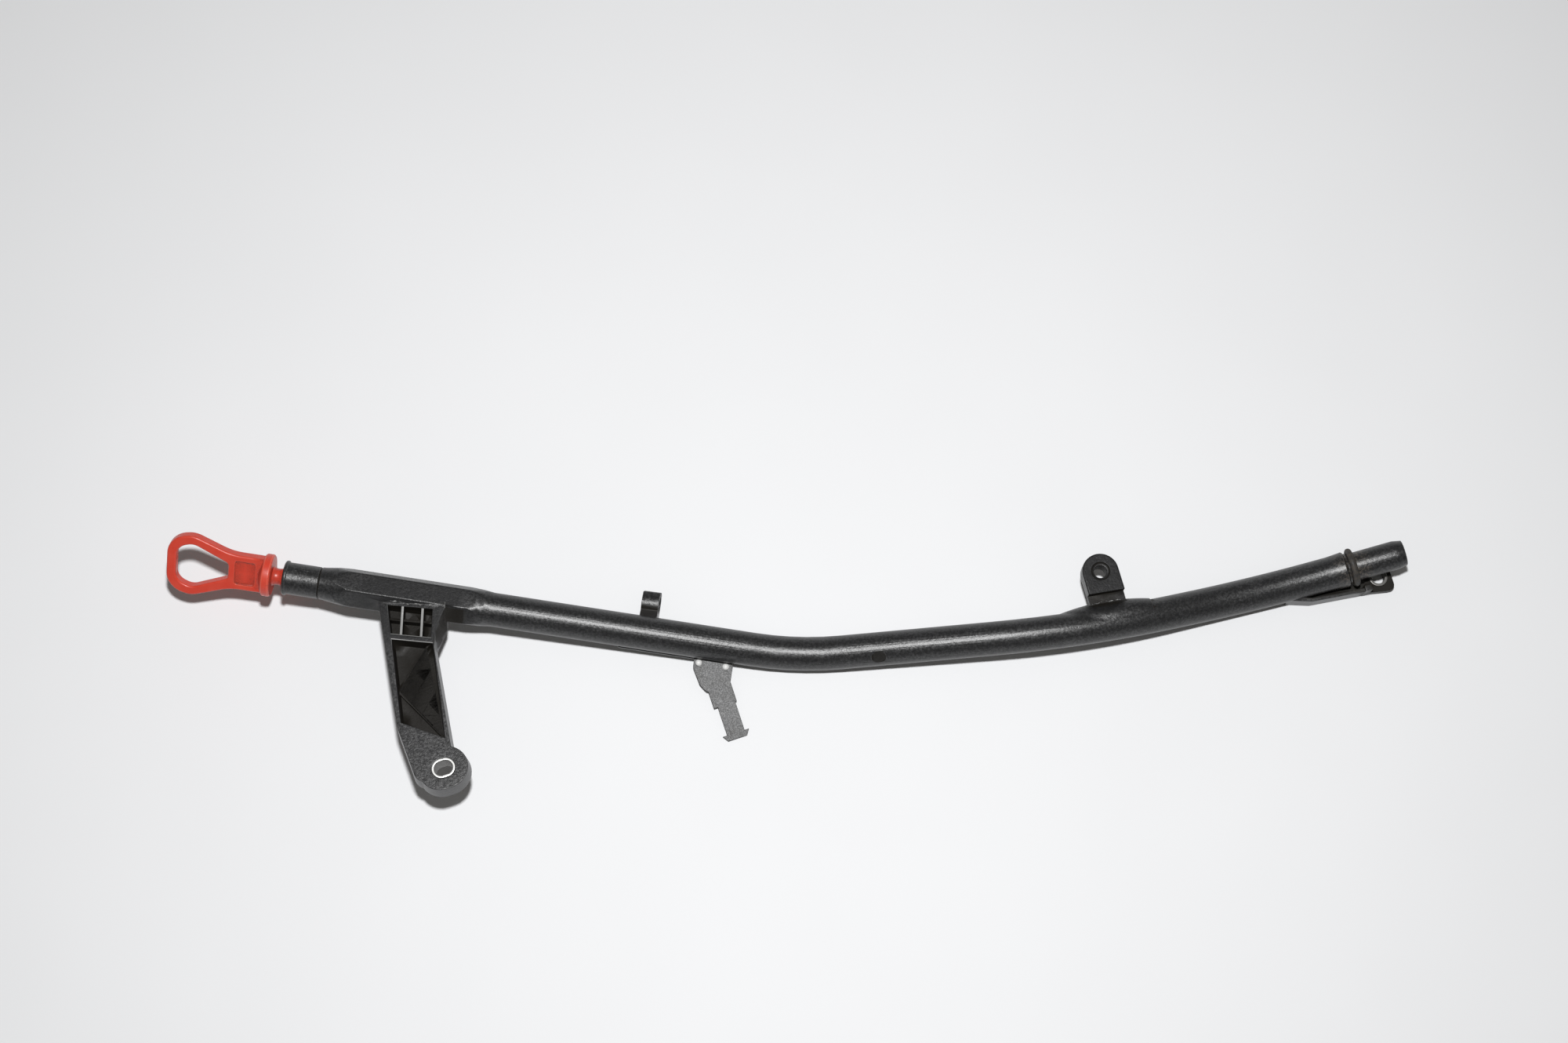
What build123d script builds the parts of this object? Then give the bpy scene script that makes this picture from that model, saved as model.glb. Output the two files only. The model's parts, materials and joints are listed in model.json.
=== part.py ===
from build123d import *

import os
from math import cos, hypot, radians, sin, tan

# Engine oil dipstick seated in its moulded guide tube, lying at rest on the floor.
# Millimetres, +Z up. The tube's centre line is bent in space: a long mouth run comes down to
# an elbow on the floor, a middle run climbs, a run sags back and the spigot's run climbs again.

# Route of the tube: each run by its length, its heading in plan and its climb
elbow_x = 2.87
elbow_y = 8.774
mouth_run = 252.7
mouth_heading = -7.85
mouth_climb = -4.96
middle_run = 140.6
middle_heading = 4.2
middle_climb = 5.0
sag_run = 93.1
sag_heading = 13.8
sag_climb = -9.0
end_run = 73.1
end_heading = 14.1
end_climb = 10.6
elbow_radius = 158.0
bend_radius = 294.0
sag_radius = 230.0

# Tube sections
tube_od = 16.6
tube_bore = 10.8
mouth_od = 15.6
mouth_bore = 12.2
mouth_depth = 26.0
mouth_length = 18.0
mouth_cone = 10.0
bead_od = 17.0
bead_width = 2.2
edge_break = 0.6
seam_width = 0.7
seam_depth = 0.3

# Six-sided block at the root of the arm
block_start = 19.0
block_length = 88.0
block_radius = 10.0
block_lead = 15.0
block_tail = 19.0
block_turn = 21.5
block_edge = 1.2

# Spigot and its ring
spigot_reach = 29.0
spigot_od = 14.2
spigot_bore = 9.4
spigot_chamfer = 0.9
spigot_lead = 4.4
collar_od = 17.6
collar_length = 18.0
neck_od = 15.2
neck_length = 1.3
ring_section = 3.2
ring_groove_od = 12.8
ring_side_play = 0.1

# Arm with its ribbed pocket
arm_station = 63.2
arm_height = 7.4
arm_climb = 6.4
arm_lean = -1.0
arm_draft = 4.0
arm_reach = 87.9
arm_shift = 19.9
arm_depth = 10.5
arm_root_left = 16.8
arm_root_right = 11.0
arm_waist_y = 27.5
arm_waist_x = 12.2
arm_knee_y = 68.3
arm_knee_x = 2.9
arm_knee_radius = 20.0
arm_waist_radius = 10.0
flare_start = 4.8
flare_root_x = 16.6
flare_root_y = 8.0
flare_pinch_x = 12.0
flare_pinch_y = 18.6
flare_hem_x = 17.2
flare_hem_top = 9.1
flare_hem_low = 16.3
flare_hem_out = 13.0
pocket_left_root = 12.4
pocket_left_knee = 0.9
pocket_right = 11.6
pocket_draft = 6.0
lug_radius = 10.2
lug_stretch = 3.0
heel_side = 8.3
heel_drop = 1.2
heel_radius = 5.6
heel_turn = 18.0
hem_turn = 36.0
slot_turn = 19.0
slot_width = 7.2
slot_stretch = 1.8
liner_wall = 1.1
liner_proud = 0.2
pocket_depth = 7.5
pocket_top = 24.8
pocket_bottom_left = 65.8
pocket_bottom_right = 73.2
cell_top = 7.6
cell_bottom = 22.0
cell_slant = 5.5
cell_right = 10.6
rib_thickness = 1.3
cell_rib_left = 3.9
cell_rib_right = 5.8
cell_rib_cross = 13.8
cell_rib_drop = 0.4
cell_cross_drop = 2.6
brace_drop = 5.0
brace_start_x = 8.8
brace_node_y = 48.5
brace_end_x = 19.4

# Cable clip
clip_station = 177.3
clip_od = 13.0
clip_bore = 8.8
clip_width = 8.6
clip_offset = 16.5
clip_gap = 4.6
clip_gap_turn = 15.0
clip_lip = 1.4
clip_lip_turn = 32.0
clip_neck = 5.0

# Connector plate, its tab and rivets
plate_station = 212.2
plate_offset = 9.4
plate_drop = 6.1
plate_slope = 5.0
plate_thickness = 1.2
plate_turn = 26.7
head_left = 9.2
head_right = 10.0
head_top = 2.3
head_bottom = 14.3
head_corner = 1.5
head_waist = 3.0
head_shoulder = 10.6
shank_width = 11.8
shank_length = 20.8
shank_start = 6.2
tongue_width = 9.0
tongue_shift = 0.6
tee_width = 13.5
tee_depth = 2.9
tee_end = 38.2
tee_angle = 57.0
tab_thickness = 2.4
tab_lip = 2.4
tab_rib = 1.6
tab_left = 47.0
tab_margin = 2.7
rivet_spacing = 13.4
rivet_shank = 2.2
rivet_head_radius = 1.7
rivet_head_height = 0.9
rivet_tail_height = 0.7

# Upper lug
lug_station = 407.9
upper_reach = 24.6
upper_width = 17.9
upper_depth = 9.0
upper_top = 10.0
upper_step_y = 14.0
upper_step_turn = 5.0
upper_step_depth = 5.0
upper_bore = 6.2
upper_recess = 9.2
upper_recess_depth = 1.2
upper_edge = 0.8
upper_lean = 4.0
saddle_od = 17.4
saddle_shift = 2.6
saddle_length = 46.0
saddle_rise = 2.4
saddle_along = -2.8

# Foot under the spigot
foot_eye_back = 11.8
foot_eye_side = 6.2
foot_thickness = 4.8
foot_half_width = 8.5
foot_front = 6.6
foot_corner = 3.2
foot_pad_back = 7.6
foot_strip_edge = 1.2
foot_tail_front = 24.0
foot_back = 48.0
foot_taper = 36.5
foot_tail_half = 1.5
foot_heel_half = 4.9
foot_heel_radius = 6.0
foot_waist_half = 6.6
foot_rib_height = 9.5
foot_rib_thickness = 2.0
foot_rib_end = 6.4
foot_post_length = 3.6
foot_post_width = 3.0
foot_post_height = 11.5
foot_web_thickness = 5.0
foot_web_gap = 4.0
bush_bore = 6.6
bush_wall = 1.3

# Ejector mark on the middle run
mark_station = 292.0
mark_diameter = 7.0
mark_depth = 0.5
mark_turn = 41.5

# Dipstick handle
handle_roll = 42.5
loop_end = 56.6
loop_wide_at = 44.2
loop_half_width = 16.6
loop_end_half = 13.8
loop_neck_at = 25.5
loop_neck_radius = 26.0
loop_wide_radius = 11.0
loop_end_radius = 10.5
plate_half_width = 9.4
loop_limb = 4.6
loop_thickness = 5.3
loop_edge = 1.0
hole_near = 26.8
hole_near_half = 4.2
hole_near_radius = 2.5
hole_wide_radius = 6.5
hole_end_radius = 6.5
recess_near = 13.7
recess_far = 23.6
recess_half = 6.4
recess_depth = 0.9
recess_corner = 1.4
flange_near = 5.5
flange_far = 9.9
flange_od = 20.8
flange_edge = 0.7
flange_cone = 2.4
neck_waist_od = 7.9
neck_flare_od = 9.8
plug_clearance = 0.2
plug_seat_gap = 0.2
seal_section = 1.8
seal_at = 9.0
seal_clearance = 0.1

# Dipstick blade
blade_roll = 21.5
blade_width = 6.0
blade_thickness = 0.9
blade_grip = 12.0
blade_short = 12.0
blade_mark_hole = 1.8
blade_low_mark = 14.0
blade_high_mark = 34.0
blade_tip_radius = 2.4


def heading_way(heading, climb):
    """Direction of a run, from its heading in plan and its climb in degrees."""
    level = cos(radians(climb))
    return Vector(level * cos(radians(heading)), level * sin(radians(heading)), sin(radians(climb)))


# Directions of the runs, and the height of the elbow's corner that lays its bend on the floor
inward = heading_way(mouth_heading, mouth_climb)
middle_way = heading_way(middle_heading, middle_climb)
sag_way = heading_way(sag_heading, sag_climb)
outward = heading_way(end_heading, end_climb)
elbow_half_turn = radians(inward.get_angle(middle_way)) / 2
elbow_hub = (middle_way - inward).normalized()
elbow_chord = (middle_way + inward).normalized()
elbow_dip = elbow_radius * (hypot(elbow_hub.Z, elbow_chord.Z) - elbow_hub.Z / cos(elbow_half_turn))

# Corners of the route, from the mouth's lip to the spigot's tip
elbow = Vector(elbow_x, elbow_y, tube_od / 2 + elbow_dip)
mouth = elbow - inward * mouth_run
bend = elbow + middle_way * middle_run
sag = bend + sag_way * sag_run
tip = sag + outward * end_run
shoulder = tip - outward * spigot_reach
corner_radii = [elbow_radius, bend_radius, sag_radius]

across = Vector(-inward.Y, inward.X, 0).normalized()
upward = inward.cross(across)
mouth_plane = Plane(origin=mouth, x_dir=inward, z_dir=upward)
mouth_axis = Axis(mouth, inward)
spigot_across = Vector(-outward.Y, outward.X, 0).normalized()
shoulder_plane = Plane(origin=shoulder, x_dir=outward, z_dir=outward.cross(spigot_across))
spigot_axis = Axis(shoulder, outward)


def on_mouth_run(station):
    """A point on the mouth run's axis, measured from the lip."""
    return mouth + inward * station


def section_plane(station):
    """Plane square to the mouth run: X across the tube, Y up."""
    return Plane(origin=on_mouth_run(station), x_dir=across, z_dir=inward)


def centre_line(start, end):
    """The route from a point of the mouth run to a point of the spigot's run."""
    with BuildLine() as line:
        FilletPolyline(start, elbow, bend, sag, end, radius=corner_radii)
    return line.wires()[0]


# Centre lines of the tube's sections, its bore and the blade
route_wire = centre_line(mouth, shoulder)
body_line = centre_line(on_mouth_run(mouth_length), shoulder)
main_line = centre_line(on_mouth_run(mouth_length + mouth_cone), shoulder)
bore_line = centre_line(on_mouth_run(mouth_depth - edge_break), shoulder)


def station_plane(station, height=0.0):
    """Level plane above the route's axis at a station, with X along the tube in plan."""
    spot = route_wire.position_at(station, position_mode=PositionMode.LENGTH)
    along = route_wire.tangent_at(station, position_mode=PositionMode.LENGTH)
    return Plane(origin=spot + Vector(0, 0, height), x_dir=(along.X, along.Y, 0), z_dir=(0, 0, 1))


# Six-sided block: a prism along the mouth run, drawn into the tube at both ends
with BuildPart() as root_block:
    with BuildSketch(section_plane(block_start)):
        RegularPolygon(radius=block_radius, side_count=6, rotation=90 + block_turn)
    extrude(amount=block_length)
    fillet(root_block.edges().filter_by(Axis((0, 0, 0), inward)), block_edge)
    with BuildSketch(mouth_plane):
        with BuildLine():
            Polyline(
                (block_start, 0),
                (block_start, mouth_od / 2),
                (block_start + block_lead, block_radius),
                (block_start + block_length - block_tail, block_radius),
                (block_start + block_length, tube_od / 2 - edge_break),
                (block_start + block_length, 0),
                close=True,
            )
        make_face()
    revolve(axis=mouth_axis, mode=Mode.INTERSECT)

# Arm: a deep tray with ribs, closed by a solid lug at its free end
arm_x = Vector(1, 0, tan(radians(arm_lean))).normalized()
arm_z = Vector(-tan(radians(arm_lean)), tan(radians(arm_climb)), 1).normalized()
arm_plane = Plane(origin=on_mouth_run(arm_station) + arm_z * arm_height, x_dir=arm_x, z_dir=arm_z)
arm_floor_plane = arm_plane.offset(-pocket_depth)
slot_place = Location((arm_shift, -arm_reach, 0), (0, 0, slot_turn))
lug_spot = Vector(arm_shift, -arm_reach)
heel_spot = lug_spot - Vector(heel_side, heel_drop)
hem_way = Vector(-sin(radians(hem_turn)), -cos(radians(hem_turn)))
heel_left = heel_spot - Vector(cos(radians(heel_turn)), sin(radians(heel_turn))) * heel_radius
heel_low = heel_spot + hem_way * heel_radius
lug_low = lug_spot + hem_way * lug_radius
lug_right = lug_spot + Vector(sin(radians(slot_turn)), cos(radians(slot_turn))) * lug_radius


def pocket_left(y):
    """Inner face of the arm's left wall, y along the arm from the tube's axis."""
    return -pocket_left_root + (pocket_left_root - pocket_left_knee) * y / arm_knee_y


def on_cell_line(x, y):
    """A point of a line across the cells, which run along the tube and not square to the arm."""
    return (x, -y - x * tan(radians(cell_slant)))


with BuildPart() as arm:
    add(root_block.part)
    with BuildSketch(arm_plane):
        with BuildLine():
            FilletPolyline(
                (-arm_root_left, 0),
                (-arm_knee_x, -arm_knee_y),
                (heel_left.X, heel_left.Y),
                (heel_low.X, heel_low.Y),
                (lug_low.X, lug_low.Y),
                (lug_spot.X, lug_spot.Y),
                (lug_right.X, lug_right.Y),
                (arm_waist_x, -arm_waist_y),
                (arm_root_right, 0),
                radius=[0, arm_knee_radius, 0, 0, 0, 0, 0, arm_waist_radius, 0],
                close=True,
            )
        make_face()
        with Locations((heel_spot.X, heel_spot.Y)):
            Circle(heel_radius)
        with Locations(slot_place):
            SlotCenterToCenter(lug_stretch, 2 * lug_radius)
    extrude(amount=-arm_depth, taper=-arm_draft)
    with BuildSketch(arm_plane):
        with BuildLine():
            Polyline(
                (0, -flare_start),
                (flare_root_x, -flare_start),
                (flare_root_x, -flare_root_y),
                (flare_pinch_x, -flare_pinch_y),
                (arm_waist_x, -arm_waist_y),
                (0, -arm_waist_y),
                close=True,
            )
        make_face()
    with BuildSketch(arm_plane.offset(-arm_depth)):
        with BuildLine():
            Polyline(
                (0, -flare_start),
                (flare_hem_x, -flare_start),
                (flare_hem_x, -flare_hem_top),
                (flare_hem_x, -flare_hem_low),
                (flare_hem_out, -arm_waist_y),
                (0, -arm_waist_y),
                close=True,
            )
        make_face()
    loft(ruled=True)
    with BuildSketch(arm_plane):
        with BuildLine():
            Polyline(
                on_cell_line(pocket_left(cell_top), cell_top),
                on_cell_line(cell_right, cell_top),
                on_cell_line(cell_right, cell_bottom),
                on_cell_line(pocket_left(cell_bottom), cell_bottom),
                close=True,
            )
        make_face()
    extrude(amount=-pocket_depth, mode=Mode.SUBTRACT)
    with BuildSketch(arm_plane):
        with BuildLine():
            Polyline(
                on_cell_line(pocket_left(pocket_top), pocket_top),
                on_cell_line(pocket_right, pocket_top),
                (arm_shift, -pocket_bottom_right),
                (pocket_left(pocket_bottom_left), -pocket_bottom_left),
                close=True,
            )
        make_face()
    extrude(amount=-pocket_depth, taper=pocket_draft, mode=Mode.SUBTRACT)
    with BuildSketch(arm_floor_plane):
        for rib_x in (-cell_rib_left, cell_rib_right):
            with Locations(on_cell_line(rib_x, (cell_top + cell_bottom) / 2)):
                Rectangle(rib_thickness, cell_bottom - cell_top + rib_thickness)
    extrude(amount=pocket_depth - cell_rib_drop)
    with BuildSketch(arm_floor_plane):
        with BuildLine() as cross_rib:
            Line(
                on_cell_line(pocket_left(cell_rib_cross), cell_rib_cross),
                on_cell_line(cell_right, cell_rib_cross),
            )
        trace(cross_rib.line, line_width=rib_thickness)
    extrude(amount=pocket_depth - cell_cross_drop)
    with BuildSketch(arm_floor_plane):
        with BuildLine() as braces:
            Polyline(
                on_cell_line(brace_start_x, pocket_top),
                (pocket_left(brace_node_y), -brace_node_y),
                (brace_end_x, -pocket_bottom_right + rib_thickness),
            )
        trace(braces.line, line_width=rib_thickness)
    extrude(amount=pocket_depth - brace_drop)
    with BuildSketch(arm_plane):
        with Locations(slot_place):
            SlotCenterToCenter(slot_stretch, slot_width + 2 * liner_wall)
    extrude(amount=-arm_depth, mode=Mode.SUBTRACT)

# Cable clip: an open ring beside the tube, level with the floor it rests on
clip_axis_point = on_mouth_run(clip_station)
clip_along = Vector(inward.X, inward.Y, 0).normalized()
clip_centre = Vector(clip_axis_point.X, clip_axis_point.Y, clip_od / 2) + across * clip_offset
clip_plane = Plane(origin=clip_centre, x_dir=across, z_dir=clip_along)
clip_mid = (clip_od + clip_bore) / 4

with BuildPart() as clip:
    with BuildSketch(clip_plane):
        with BuildLine() as clip_neck_line:
            Line((0, 0), (-clip_offset, clip_axis_point.Z - clip_od / 2))
        trace(clip_neck_line.line, line_width=clip_neck)
        Circle(clip_od / 2)
        Circle(clip_bore / 2, mode=Mode.SUBTRACT)
        with Locations(Location((0, 0, 0), (0, 0, clip_gap_turn))):
            Rectangle(clip_od, clip_gap, align=(Align.MIN, Align.CENTER), mode=Mode.SUBTRACT)
        with PolarLocations(clip_mid, 2, clip_gap_turn - clip_lip_turn, 4 * clip_lip_turn):
            Circle(clip_lip)
    extrude(amount=clip_width / 2, both=True)

# Connector plate's plane: underside of the sheet, falling away from the tube
plate_y = (across * cos(radians(plate_slope)) + upward * sin(radians(plate_slope))).normalized()
plate_z = inward.cross(plate_y)
plate_origin = on_mouth_run(plate_station) - across * plate_offset - upward * plate_drop
plate_plane = Plane(origin=plate_origin, x_dir=inward, z_dir=plate_z)
tongue_place = Location((0, 0, 0), (0, 0, plate_turn))
tab_left_edge = -rivet_spacing / 2 - rivet_head_radius
tab_right_edge = rivet_spacing / 2 + tab_margin

with BuildPart() as tab:
    with BuildSketch(plate_plane):
        with BuildLine():
            Polyline(
                (-tab_left, tab_rib),
                (tab_left_edge, tab_rib),
                (tab_left_edge, -tab_lip),
                (tab_right_edge, -tab_lip),
                (tab_right_edge, plate_offset),
                (-tab_left, plate_offset),
                close=True,
            )
        make_face()
    extrude(amount=-tab_thickness)
    with BuildSketch(plate_plane):
        with Locations((0, plate_offset - tab_thickness)):
            Rectangle(tab_left, tab_thickness)
    extrude(amount=plate_drop - tab_thickness)
    with BuildSketch(plate_plane):
        with GridLocations(rivet_spacing, 0, 2, 1):
            Circle(rivet_shank / 2)
    extrude(amount=-tab_thickness, mode=Mode.SUBTRACT)

# Upper lug with its stepped base, standing on a saddle
lug_square = station_plane(lug_station, upper_top)
lug_plane = Plane(lug_square.location * Location((0, 0, 0), (0, 0, upper_lean)))
saddle_plane = lug_square.offset(-upper_top)
saddle_plane.origin += lug_square.y_dir * saddle_shift + lug_square.x_dir * saddle_along

with BuildPart() as upper_lug:
    with BuildSketch(lug_plane):
        with Locations((0, upper_reach / 2)):
            Rectangle(upper_width, upper_reach)
        with Locations((0, upper_reach)):
            Circle(upper_width / 2)
    extrude(amount=-upper_depth)
    fillet(upper_lug.edges().group_by(Axis.Z)[-1].filter_by(GeomType.CIRCLE), upper_edge)
    with BuildSketch(lug_plane):
        with Locations(Location((0, upper_step_y, 0), (0, 0, -upper_step_turn))):
            Rectangle(2 * upper_width, 2 * upper_step_y, align=(Align.CENTER, Align.MAX))
    extrude(amount=-upper_step_depth, mode=Mode.SUBTRACT)
    with Locations(lug_plane.location * Location((0, upper_reach, 0))):
        CounterBoreHole(upper_bore / 2, upper_recess / 2, upper_recess_depth, upper_depth)

with BuildPart() as saddle:
    with BuildSketch(saddle_plane):
        with BuildLine():
            saddle_foot = saddle_od / 2 - saddle_rise
            saddle_start = (-saddle_length / 2, saddle_foot)
            saddle_end = (saddle_length / 2, saddle_foot)
            ThreePointArc(saddle_start, (0, saddle_od / 2), saddle_end)
            Polyline(saddle_start, (-saddle_length / 2, 0), (saddle_length / 2, 0), saddle_end)
        make_face()
    revolve(axis=Axis(saddle_plane.origin, saddle_plane.x_dir))

# Foot: a pad round the eye, a strip with a rib and post, and a tail hung from the tube by a web
foot_along = Vector(outward.X, outward.Y, 0).normalized()
foot_side = Vector(-foot_along.Y, foot_along.X, 0)
foot_eye = Vector(tip.X, tip.Y, 0) - foot_along * foot_eye_back - foot_side * foot_eye_side
foot_plane = Plane(origin=foot_eye, x_dir=foot_along, z_dir=(0, 0, 1))
foot_web_end = foot_eye_back - spigot_reach * outward.dot(foot_along) - foot_web_gap
bush_od = bush_bore + 2 * bush_wall

with BuildPart() as foot:
    with BuildSketch(foot_plane):
        with BuildLine():
            FilletPolyline(
                (foot_front, -foot_half_width),
                (foot_front, foot_half_width),
                (-foot_pad_back, foot_half_width),
                (-foot_pad_back, -foot_strip_edge),
                (-foot_tail_front, -foot_strip_edge),
                (-foot_tail_front, foot_half_width),
                (-foot_back, foot_half_width),
                (-foot_back, -foot_tail_half),
                (-foot_taper, -foot_heel_half),
                (-foot_rib_end, -foot_waist_half),
                radius=[
                    foot_corner,
                    foot_corner,
                    foot_corner,
                    0,
                    0,
                    0,
                    0,
                    0,
                    foot_heel_radius,
                    foot_heel_radius,
                ],
                close=True,
            )
        make_face()
    extrude(amount=foot_thickness)
    with BuildSketch(foot_plane):
        with BuildLine() as foot_edge:
            Polyline(
                (-foot_back, -foot_tail_half + foot_rib_thickness / 2),
                (-foot_taper, -foot_heel_half + foot_rib_thickness / 2),
                (-foot_rib_end, -foot_waist_half + foot_rib_thickness / 2),
            )
        trace(foot_edge.line, line_width=foot_rib_thickness)
    extrude(amount=foot_rib_height)
    with BuildSketch(foot_plane):
        with Locations((-foot_rib_end, -foot_waist_half)):
            Rectangle(foot_post_length, foot_post_width, align=(Align.MAX, Align.MIN))
    extrude(amount=foot_post_height)
    with BuildSketch(foot_plane):
        with Locations(((foot_web_end - foot_back) / 2, foot_eye_side)):
            Rectangle(foot_web_end + foot_back, foot_web_thickness)
    extrude(amount=shoulder.Z - tube_bore / 2)
    with BuildSketch(foot_plane):
        Circle(bush_od / 2)
    extrude(amount=foot_thickness, mode=Mode.SUBTRACT)

# Ejector mark: a flat spot on the middle run
mark_square = station_plane(mark_station)
mark_out = mark_square.z_dir * cos(radians(mark_turn)) - mark_square.y_dir * sin(radians(mark_turn))
mark_plane = Plane(
    origin=mark_square.origin + mark_out * (tube_od / 2 - mark_depth),
    x_dir=mark_square.x_dir,
    z_dir=mark_out,
)

# Guide tube: one moulding with its brackets, then bored through
with BuildPart() as guide_tube:
    with BuildSketch(section_plane(mouth_length)):
        Circle(mouth_od / 2)
    sweep(path=body_line)
    with BuildSketch(section_plane(mouth_length + mouth_cone)):
        Circle(tube_od / 2)
    sweep(path=main_line)
    with BuildSketch(mouth_plane):
        with BuildLine():
            Polyline(
                (0, 0),
                (0, bead_od / 2 - edge_break),
                (edge_break, bead_od / 2),
                (bead_width - edge_break, bead_od / 2),
                (bead_width, mouth_od / 2),
                (mouth_length - seam_width, mouth_od / 2),
                (mouth_length - seam_width, mouth_od / 2 - seam_depth),
                (mouth_length, mouth_od / 2 - seam_depth),
                (mouth_length, mouth_od / 2),
                (mouth_length + mouth_cone, tube_od / 2),
                (mouth_length + mouth_cone, 0),
                close=True,
            )
        make_face()
    revolve(axis=mouth_axis)
    with BuildSketch(shoulder_plane):
        with BuildLine():
            Polyline(
                (-collar_length, 0),
                (-collar_length, tube_od / 2 - edge_break),
                (-edge_break, collar_od / 2),
                (0, collar_od / 2 - edge_break),
                (0, neck_od / 2),
                (neck_length, neck_od / 2),
                (neck_length, ring_groove_od / 2),
                (neck_length + ring_section + 2 * ring_side_play, ring_groove_od / 2),
                (neck_length + ring_section + 2 * ring_side_play, spigot_od / 2),
                (spigot_reach - spigot_lead, spigot_od / 2),
                (spigot_reach, spigot_od / 2 - spigot_chamfer),
                (spigot_reach, 0),
                close=True,
            )
        make_face()
    revolve(axis=spigot_axis)
    add(arm.part)
    add(clip.part)
    add(tab.part)
    add(saddle.part)
    add(upper_lug.part)
    add(foot.part)
    with BuildSketch(mark_plane):
        Circle(mark_diameter / 2)
    extrude(amount=2 * mark_depth, mode=Mode.SUBTRACT)
    with BuildSketch(mouth_plane):
        with BuildLine():
            Polyline(
                (0, 0),
                (0, mouth_bore / 2),
                (mouth_depth, mouth_bore / 2),
                (mouth_depth, 0),
                close=True,
            )
        make_face()
    revolve(axis=mouth_axis, mode=Mode.SUBTRACT)
    with BuildSketch(section_plane(mouth_depth - edge_break)):
        Circle(tube_bore / 2)
    sweep(path=bore_line, mode=Mode.SUBTRACT)
    with BuildSketch(shoulder_plane):
        with BuildLine():
            Polyline(
                (-edge_break, 0),
                (-edge_break, spigot_bore / 2),
                (spigot_reach, spigot_bore / 2),
                (spigot_reach, 0),
                close=True,
            )
        make_face()
    revolve(axis=spigot_axis, mode=Mode.SUBTRACT)
guide_tube.part.label = "guide_tube"

# Steel liner of the arm's slot
with BuildPart() as arm_slot_liner:
    with BuildSketch(arm_plane.offset(liner_proud)):
        with Locations(slot_place):
            SlotCenterToCenter(slot_stretch, slot_width + 2 * liner_wall)
            SlotCenterToCenter(slot_stretch, slot_width, mode=Mode.SUBTRACT)
    extrude(amount=-arm_depth - 2 * liner_proud)
arm_slot_liner.part.label = "arm_slot_liner"

# Steel bush of the foot's eye
with BuildPart() as foot_bush:
    with BuildSketch(foot_plane):
        Circle(bush_od / 2)
        Circle(bush_bore / 2, mode=Mode.SUBTRACT)
    extrude(amount=foot_thickness)
foot_bush.part.label = "foot_bush"

# Connector plate: one sheet with a head, a shank, a tongue and a tee
with BuildPart() as connector_plate:
    with BuildSketch(plate_plane):
        with BuildLine():
            FilletPolyline(
                (-head_left, head_top),
                (head_right, head_top),
                (head_right, -head_bottom / 2),
                (0, -head_bottom),
                (-head_left / 2, -head_shoulder),
                (-head_left, -tab_lip),
                radius=[head_corner, head_corner, head_waist, head_waist, head_waist, head_waist],
                close=True,
            )
        make_face()
        with Locations(tongue_place):
            with Locations((0, -shank_start)):
                Rectangle(shank_width, shank_length - shank_start, align=(Align.CENTER, Align.MAX))
            with Locations((tongue_shift, -(shank_length + tee_end) / 2)):
                Rectangle(tongue_width, tee_end - shank_length)
            with Locations((tongue_shift, -tee_end + tee_depth / 2)):
                Trapezoid(tee_width, tee_depth, tee_angle, rotation=180)
    extrude(amount=plate_thickness)
    with BuildSketch(plate_plane):
        with GridLocations(rivet_spacing, 0, 2, 1):
            Circle(rivet_shank / 2)
    extrude(amount=plate_thickness, mode=Mode.SUBTRACT)
connector_plate.part.label = "connector_plate"

# Two rivets: domed heads on the sheet, set tails under the tab
with BuildPart() as plate_rivets:
    for side in (-1, 1):
        rivet_spot = plate_plane.from_local_coords((side * rivet_spacing / 2, 0, 0))
        rivet_plane = Plane(origin=rivet_spot, x_dir=plate_plane.x_dir, z_dir=-plate_plane.y_dir)
        with BuildSketch(rivet_plane):
            with BuildLine():
                head_base = (rivet_head_radius, plate_thickness)
                head_crown = (0, plate_thickness + rivet_head_height)
                tail_base = (rivet_head_radius, -tab_thickness)
                tail_crown = (0, -tab_thickness - rivet_tail_height)
                Line(tail_crown, head_crown)
                TangentArc(head_crown, head_base, tangent=(1, 0))
                Line(head_base, (rivet_shank / 2, plate_thickness))
                Line((rivet_shank / 2, plate_thickness), (rivet_shank / 2, -tab_thickness))
                Line((rivet_shank / 2, -tab_thickness), tail_base)
                TangentArc(tail_crown, tail_base, tangent=(1, 0))
            make_face()
        revolve(axis=Axis(rivet_spot, plate_plane.z_dir))
plate_rivets.part.label = "plate_rivets"

# Rubber ring on the spigot
ring_place = shoulder + outward * (neck_length + ring_side_play + ring_section / 2)
with BuildPart(Plane(origin=ring_place, z_dir=outward)) as spigot_o_ring:
    Torus((ring_groove_od + ring_section) / 2, ring_section / 2)
spigot_o_ring.part.label = "spigot_o_ring"

# Dipstick handle: loop, plate, flange, waisted neck and plug in one moulding
loop_z = upward * cos(radians(handle_roll)) - across * sin(radians(handle_roll))
loop_plane = Plane(origin=mouth, x_dir=-inward, z_dir=loop_z)
loop_axis = Axis((0, 0, 0), loop_plane.z_dir)
plug_radius = mouth_bore / 2 - plug_clearance
plug_end = mouth_depth - plug_seat_gap
seal_floor = mouth_bore / 2 - seal_clearance - seal_section
seal_half = seal_section / 2 + ring_side_play
blade_wide = upward * cos(radians(blade_roll)) - across * sin(radians(blade_roll))
grip_plane = Plane(origin=on_mouth_run(plug_end - blade_grip), x_dir=blade_wide, z_dir=inward)

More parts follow.
